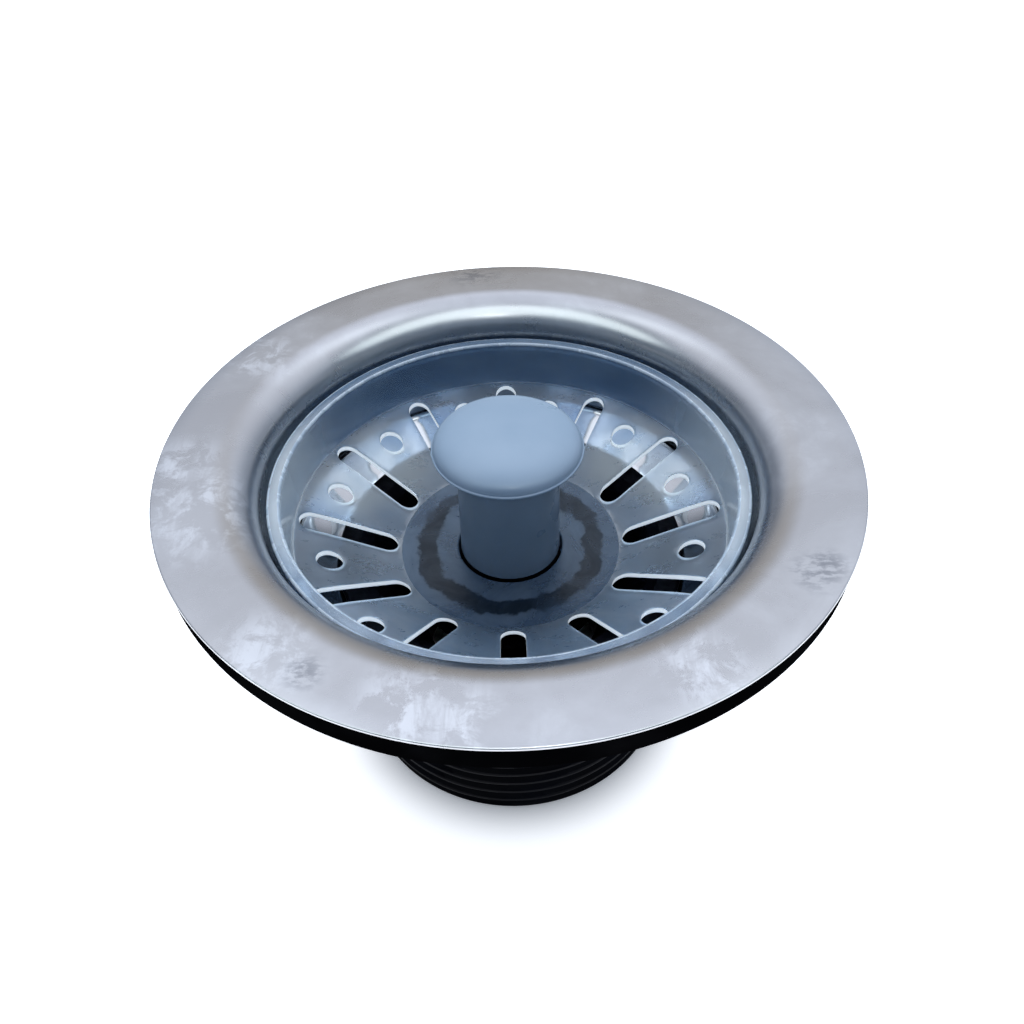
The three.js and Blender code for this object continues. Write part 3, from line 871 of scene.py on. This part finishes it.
def floor_face(bm, points, drops, triangles, profile):
    """One face of the floor patch, lying on a profile. Returns the vertex made for each point."""
    made = {}
    for triangle in triangles:
        for i in triangle:
            if i not in made:
                radius, angle = points[i].length, math.atan2(points[i].y, points[i].x)
                made[i] = bm.verts.new(place(radius, depth_at(profile, radius) + drops[i], angle))
        bm.faces.new([made[i] for i in triangle]).material_index = HAZED
    return made


def floor_patch(bm, upper, lower):
    """The sloping floor with its slots and holes."""
    plan, cuts = floor_plan()
    points, drops, triangles, number_of = filled(plan)
    top = floor_face(bm, points, drops, triangles, upper)
    bottom = floor_face(bm, points, [-drop for drop in drops], triangles, lower)
    for cut in cuts:
        top_ring = [top[number_of[i]] for i in cut]
        bottom_ring = [bottom[number_of[i]] for i in cut]
        bridge(bm, top_ring, bottom_ring, CUT_EDGE)


def basket_middle(bm, upper, lower):
    """The flat middle, and the collar under it that guides the knob's stem."""
    end = node_depths("basket")[1]
    collar = STEM_GUIDE + 2.2
    under = MIDDLE_DEPTH + WALL
    outline = [(PATCH[0], depth_at(upper, PATCH[0])), (MIDDLE_RADIUS, MIDDLE_DEPTH), (14.0, MIDDLE_DEPTH)]
    outline += rounded([(STEM_GUIDE, MIDDLE_DEPTH, 0.3), (STEM_GUIDE, end, 0.2), (collar, end, 0.3),
                        (collar, under, 0.6), (MIDDLE_RADIUS, under)])
    outline.append((PATCH[0], depth_at(lower, PATCH[0])))
    turn_into(bm, outline, PATCH_SIDES, closed=False, material_index=SHADED_MIDDLE)


def basket_wall(bm, upper, lower):
    """The wall and its lip, whose corners carry a painted highlight."""
    lip = node_depths("basket")[0]
    outer = node_radius("basket")
    outline = rounded([upper[-1], (38.15, MIDDLE_DEPTH - 8.42, 0.25), (38.45, lip, 0.45),
                       (outer, lip, 0.45), (outer, lip + 1.8, 0.4), (40.0, lip + 2.2, 0.4), WALL_FOOT])
    outline += [point for point in lower[::-1] if PATCH[1] < point[0] < WALL_FOOT[0]]
    outline.append((PATCH[1], depth_at(lower, PATCH[1])))
    for start, end in zip(outline, outline[1:]):
        level = abs(end[1] - start[1]) < 0.001
        below_corner = max(start[1], end[1]) > lip + 0.5
        # the lip's corners take the painted highlight
        strip = CLEAR if level or below_corner else LIP_PAINTED_HIGHLIGHT
        turn_into(bm, [start, end], PATCH_SIDES, closed=False, material_index=strip)


def basket():
    """The clear strainer basket."""
    upper, lower = floor_profiles()
    bm = bmesh.new()
    floor_patch(bm, upper, lower)
    basket_middle(bm, upper, lower)
    basket_wall(bm, upper, lower)
    bmesh.ops.remove_doubles(bm, verts=bm.verts, dist=2e-6)
    piece = finish_mesh("strainer_basket", bm, sharp_degrees=40)
    stand_in(piece, "basket", "basket", "clear_plastic", bright_edge(), hazed_plastic(), middle_with_painted_shade(),
             lip_painted_highlight())


# ---- The plunger ----

STEM_HOLLOW = 5.6
SPINDLE_HOLE = 3.3  # radius of the hole that the spindle passes through


def knob_cap():
    """A low dome with a fine bead round its lower edge, and a plug that fits the stem's hollow."""
    top, plug_end = node_depths("knob_cap")
    radius = node_radius("knob_cap")
    under = top + 3.8
    dome_end = (radius - 0.25, under - 0.5)
    crown = [(0, top)] + curve((0, top), (7.5, top), (radius - 0.75, top + 0.6), dome_end, 26)
    bead = arc(radius - 0.22, under - 0.23, 0.22, 70, -80, 8)
    plug = STEM_HOLLOW - 0.3
    plug_bore = plug - 1.5
    hollow = [(plug, under), (plug, plug_end - 0.3), (plug - 0.3, plug_end), (plug_bore, plug_end),
              (plug_bore, under - 1.2), (0, under - 1.2)]
    cap = turned("push_knob_cap", crown + bead + hollow, 128, closed=False)
    stand_in(cap, "knob_cap", "plunger", "grey_plastic")


def knob_stem():
    """The hollow stem, with the detent ring's groove. Its plastic is a darker copy of the cap's, as painted
    shade.
    """
    groove, groove_top, hollow_end = 7.0, 24.4, 24.0
    groove_bottom = groove_top + 2.2
    top, bottom = node_depths("knob_stem")
    radius = node_radius("knob_stem")
    outline = rounded([(STEM_HOLLOW, top, 0.2), (radius - 0.3, top, 0.3), (radius, groove_top, 0.15),
                       (groove, groove_top, 0.2), (groove, groove_bottom, 0.2),
                       (radius, groove_bottom, 0.1), (radius, bottom, 0.2), (SPINDLE_HOLE, bottom, 0.2),
                       (SPINDLE_HOLE, hollow_end, 0.2), (STEM_HOLLOW, hollow_end, 0.3)])
    stem = turned("push_knob_stem", outline, 128)
    stand_in(stem, "knob_stem", "plunger", "grey_plastic")
    # painted shade: the stem gets a darker copy of the cap's plastic
    stem.data.materials[0] = grey_plastic("shaded_grey_plastic", shade=0.62)


def stopper_plate():
    """The disc that the seal lies against."""
    top, bottom = node_depths("stopper_plate")
    radius = node_radius("stopper_plate")
    plate = rounded([(SPINDLE_HOLE, top, 0.2), (radius, top, 0.5), (radius, bottom, 0.3),
                     (SPINDLE_HOLE, bottom, 0.2)])
    stand_in(turned("stopper_disc", plate, 128), "stopper_plate", "plunger", "black_plastic")


def stopper_seal():
    """The rubber disc, with a cone that meets the outlet's seat and a hollow under it."""
    cone_end, foot, hollow_start, hollow_end = 17.6, 15.0, 9.0, 14.6
    top, bottom = node_depths("stopper_seal")
    radius = node_radius("stopper_seal")
    hollow_top = bottom - 0.5
    seal = rounded([(SPINDLE_HOLE, top, 0.2), (radius - 0.4, top, 0.3), (radius, top + 0.6, 0.3),
                    (cone_end, bottom, 0.6), (foot, bottom, 0.3), (hollow_end, hollow_top, 0.3),
                    (hollow_start, hollow_top, 0.3), (hollow_start - 0.4, bottom, 0.3),
                    (SPINDLE_HOLE, bottom, 0.2)])
    stand_in(turned("stopper_rubber", seal, 128), "stopper_seal", "plunger", "black_rubber")


def spindle():
    """The pan-head screw that holds the plunger together, threaded at its lower end."""
    shank, thread_root, pitch = 3.0, 2.72, 1.0
    head_radius, head_height = 4.9, 3.0
    slim_from, thread_top = 30, 31.0
    top, bottom = node_depths("spindle")
    head = top + head_height
    corners = [(0, top), (2.2, top + 0.02), (3.8, top + 0.3, 0.5), (head_radius, top + 1.4, 0.8),
               (head_radius, head, 0.2), (shank, head, 0.2), (shank, bottom - 0.9), (2.2, bottom, 0.2),
               (0, bottom)]
    outline = []
    for radius, depth in refined(rounded(corners), 0.16, closed=False):
        is_slim = abs(radius - shank) < SAME_RADIUS and depth > slim_from
        outline.append((thread_root if is_slim else radius, depth))
    screw_thread = thread(thread_root, shank, pitch, thread_top, bottom)
    screw = turned("spindle_screw", outline, 48, screw_thread, closed=False)
    stand_in(screw, "spindle", "plunger", "hardware_steel")


def spindle_nut():
    """A hexagon nut with chamfered corners."""
    corner, chamfer_height, chamfer_depth = 5.75, 0.45, 0.5
    flat = corner * math.cos(math.pi / 6)
    top, bottom = node_depths("spindle_nut")

    def six_sides(radius, depth, angle):
        if radius < SPINDLE_HOLE + 0.3:
            return radius
        from_flat = (angle + math.pi / 2) % (math.pi / 3) - math.pi / 6
        from_face = min(depth - top, bottom - depth)
        chamfer = corner - chamfer_depth * max(0.0, chamfer_height - from_face) / chamfer_height
        return min(flat / math.cos(from_flat), chamfer) * radius / corner

    nut = refined(rounded([(SPINDLE_HOLE, top, 0.2), (corner, top), (corner, bottom),
                           (SPINDLE_HOLE, bottom, 0.2)]), 0.4)
    stand_in(turned("spindle_hex_nut", nut, 96, six_sides), "spindle_nut", "plunger", "hardware_steel")


def detent_ring():
    """The rubber ring in the stem's groove, which holds the plunger up or down."""
    sides = 24
    top, bottom = node_depths("detent_ring")
    half = (bottom - top) / 2
    last = 360 * (sides - 1) / sides
    outline = arc(node_radius("detent_ring") - half, (top + bottom) / 2, half, 0, last, sides - 1)
    stand_in(turned("detent_o_ring", outline, 96), "detent_ring", "plunger", "black_rubber")


# ---- The room ----

def floor():
    """A pale floor. It glows softly, but not under the drain, where the slots look down on it."""
    dark_radius, glow_radius, glow = 26 * MM, 40 * MM, 0.85
    floor_radius = 3.0
    bm = bmesh.new()
    bmesh.ops.create_circle(bm, cap_ends=True, segments=96, radius=floor_radius)
    plane = finish_mesh("studio_floor", bm)
    n = Nodes("pale_floor")
    n.colour(n.blended(n.noise(3, detail=2), (0.93, 0.93, 0.935), (0.95, 0.95, 0.955)))
    n.set(Roughness=0.9, Specular_IOR_Level=0.1, Emission_Color=(0.95, 0.97, 1, 1))
    n.link(n.ranged(n.from_axis(), dark_radius, glow_radius, 0, glow), n.shader.inputs["Emission Strength"])
    plane.data.materials.append(n.material)


# the dome's colours by height, from the horizon and below (0) to straight above (1)
BEHIND = [(0.0, (0.26, 0.265, 0.28)), (0.3, (0.44, 0.425, 0.41)), (0.5, (0.49, 0.475, 0.46)),
          (0.66, (0.62, 0.645, 0.70)), (0.78, (0.80, 0.85, 0.97)), (0.86, (1.02, 1.09, 1.25)),
          (0.93, (0.80, 0.86, 1.0)), (1.0, (0.76, 0.82, 0.95))]
HIGH_BESIDE = [(0.66, (0.76, 0.81, 0.92)), (0.78, (0.84, 0.89, 1.0)), (0.87, (1.25, 1.35, 1.50)),
               (0.93, (1.6, 1.74, 1.92)), (1.0, (0.76, 0.82, 0.95))]
RIGHT = [(0.0, (0.22, 0.27, 0.35)), (0.3, (0.46, 0.52, 0.62)), (0.5, (0.66, 0.71, 0.81))] + HIGH_BESIDE
LEFT = [(0.0, (0.08, 0.11, 0.16)), (0.3, (0.27, 0.31, 0.38)), (0.5, (0.62, 0.67, 0.77))] + HIGH_BESIDE
AHEAD = [(0.0, (0.10, 0.13, 0.18)), (0.3, (0.13, 0.18, 0.25)), (0.5, (0.17, 0.23, 0.31)),
         (0.8, (0.26, 0.31, 0.38)), (1.0, (0.78, 0.84, 0.97))]


def sky():
    """A soft dome. It is bright blue-white high up, warm grey straight behind the drain, bluer to both
    sides of that, and dim low down in front."""
    world = bpy.data.worlds.new("studio_dome")
    bpy.context.scene.world = world
    world.use_nodes = True
    tree = world.node_tree
    link = tree.links.new
    split = tree.nodes.new("ShaderNodeSeparateXYZ")
    link(tree.nodes.new("ShaderNodeTexCoord").outputs["Generated"], split.inputs[0])
    x, y, z = split.outputs

    def by_height(stops):
        ramp = tree.nodes.new("ShaderNodeValToRGB")
        link(z, ramp.inputs["Fac"])
        elements = ramp.color_ramp.elements
        while len(elements) < len(stops):
            elements.new(0.5)
        for element, (position, colour) in zip(elements, stops):
            element.position = position
            element.color = (*colour, 1)
        return ramp.outputs["Color"]

    def ranged(value, low, high):
        node = tree.nodes.new("ShaderNodeMapRange")
        node.interpolation_type = "SMOOTHSTEP"
        node.inputs["From Min"].default_value = low
        node.inputs["From Max"].default_value = high
        link(value, node.inputs["Value"])
        return node.outputs["Result"]

    def blended(factor, a, b):
        node = tree.nodes.new("ShaderNodeMix")
        node.data_type = "RGBA"
        link(factor, node.inputs["Factor"])
        for output, socket in zip((a, b), node.inputs[MIX_A:]):
            link(output, socket)
        return node.outputs[MIX_RESULT]

    sideways = tree.nodes.new("ShaderNodeMath")
    sideways.operation = "ABSOLUTE"
    link(x, sideways.inputs[0])
    beside = blended(ranged(x, -0.05, 0.05), by_height(LEFT), by_height(RIGHT))
    back = blended(ranged(sideways.outputs[0], 0.08, 0.4), by_height(BEHIND), beside)
    colour = blended(ranged(y, -0.25, 0.1), by_height(AHEAD), back)
    link(colour, tree.nodes["Background"].inputs["Color"])


def soft_box(name, place_at, target, size, power, colour):
    """A rectangular light that the camera doesn't see."""
    data = bpy.data.lights.new(name, "AREA")
    data.shape = "RECTANGLE"
    data.size, data.size_y = size
    data.energy = power
    data.color = colour
    light = bpy.data.objects.new(name, data)
    bpy.context.scene.collection.objects.link(light)
    light.location = place_at
    light.rotation_euler = (Vector(target) - Vector(place_at)).to_track_quat("-Z", "Y").to_euler()
    light.visible_camera = False
    return light


def camera():
    """The view of someone leaning over the sink. Returns the eye's place."""
    distance, elevation, roll = 0.146, math.radians(39.92), math.radians(-1.55)
    aim_right, aim_down = 0.45 * MM, 16.6 * MM
    rim_centre = Vector((0, 0, RIM_TOP))
    eye = rim_centre + distance * Vector((0, -math.cos(elevation), math.sin(elevation)))
    target = rim_centre + Vector((aim_right, 0, -aim_down))
    data = bpy.data.cameras.new("camera")
    data.sensor_width = 36
    data.lens = 31.07
    data.clip_start = 5 * MM
    view = bpy.data.objects.new("camera", data)
    bpy.context.scene.collection.objects.link(view)
    view.location = eye
    rotation = (target - eye).to_track_quat("-Z", "Y").to_matrix()
    view.rotation_euler = (rotation @ Matrix.Rotation(roll, 3, "Z")).to_euler()
    bpy.context.scene.camera = view
    return eye


def lights(eye):
    """Light from above, a window ahead that is only mirrored, and a small lamp beside the eye."""
    fill = soft_box("overhead_fill", (0.0, 0.5, 0.8), (0, 0, 0.05), (0.5, 0.5), 5.0, (0.92, 0.97, 1.0))
    fill.visible_glossy = False
    window = soft_box("front_window", (0.0, -0.34, 0.55), (0, 0, 0.06), (2.1, 0.34), 2.9, (0.90, 1.0, 1.0))
    window.visible_diffuse = False
    lamp_place = eye + Vector((0.012, 0, 0.012))
    soft_box("by_the_lens", lamp_place, (0, 0, 0.05), (0.004, 0.006), 0.01, (0.95, 0.98, 1.0))


lights(camera())
floor()
sky()
bpy.context.scene.view_settings.view_transform = "Standard"

flange_dish()
rim_gasket()
plain_ring("dish_seal_ring", "dish_seal", "drain", "black_rubber", DISH_HOLE + 0.4)
drain_body()
outlet_seat()
plain_ring("deck_gasket_ring", "deck_gasket", "clamp", "black_rubber", CLAMP_BORE)
plain_ring("friction_washer_ring", "friction_washer", "clamp", "white_plastic", CLAMP_BORE, corner=0.2)
locknut()
basket()
knob_cap()
knob_stem()
detent_ring()
stopper_plate()
stopper_seal()
spindle()
spindle_nut()
plain_ring("seal_flat_washer", "seal_washer", "plunger", "hardware_steel", SPINDLE_HOLE, 0.2, sides=96)
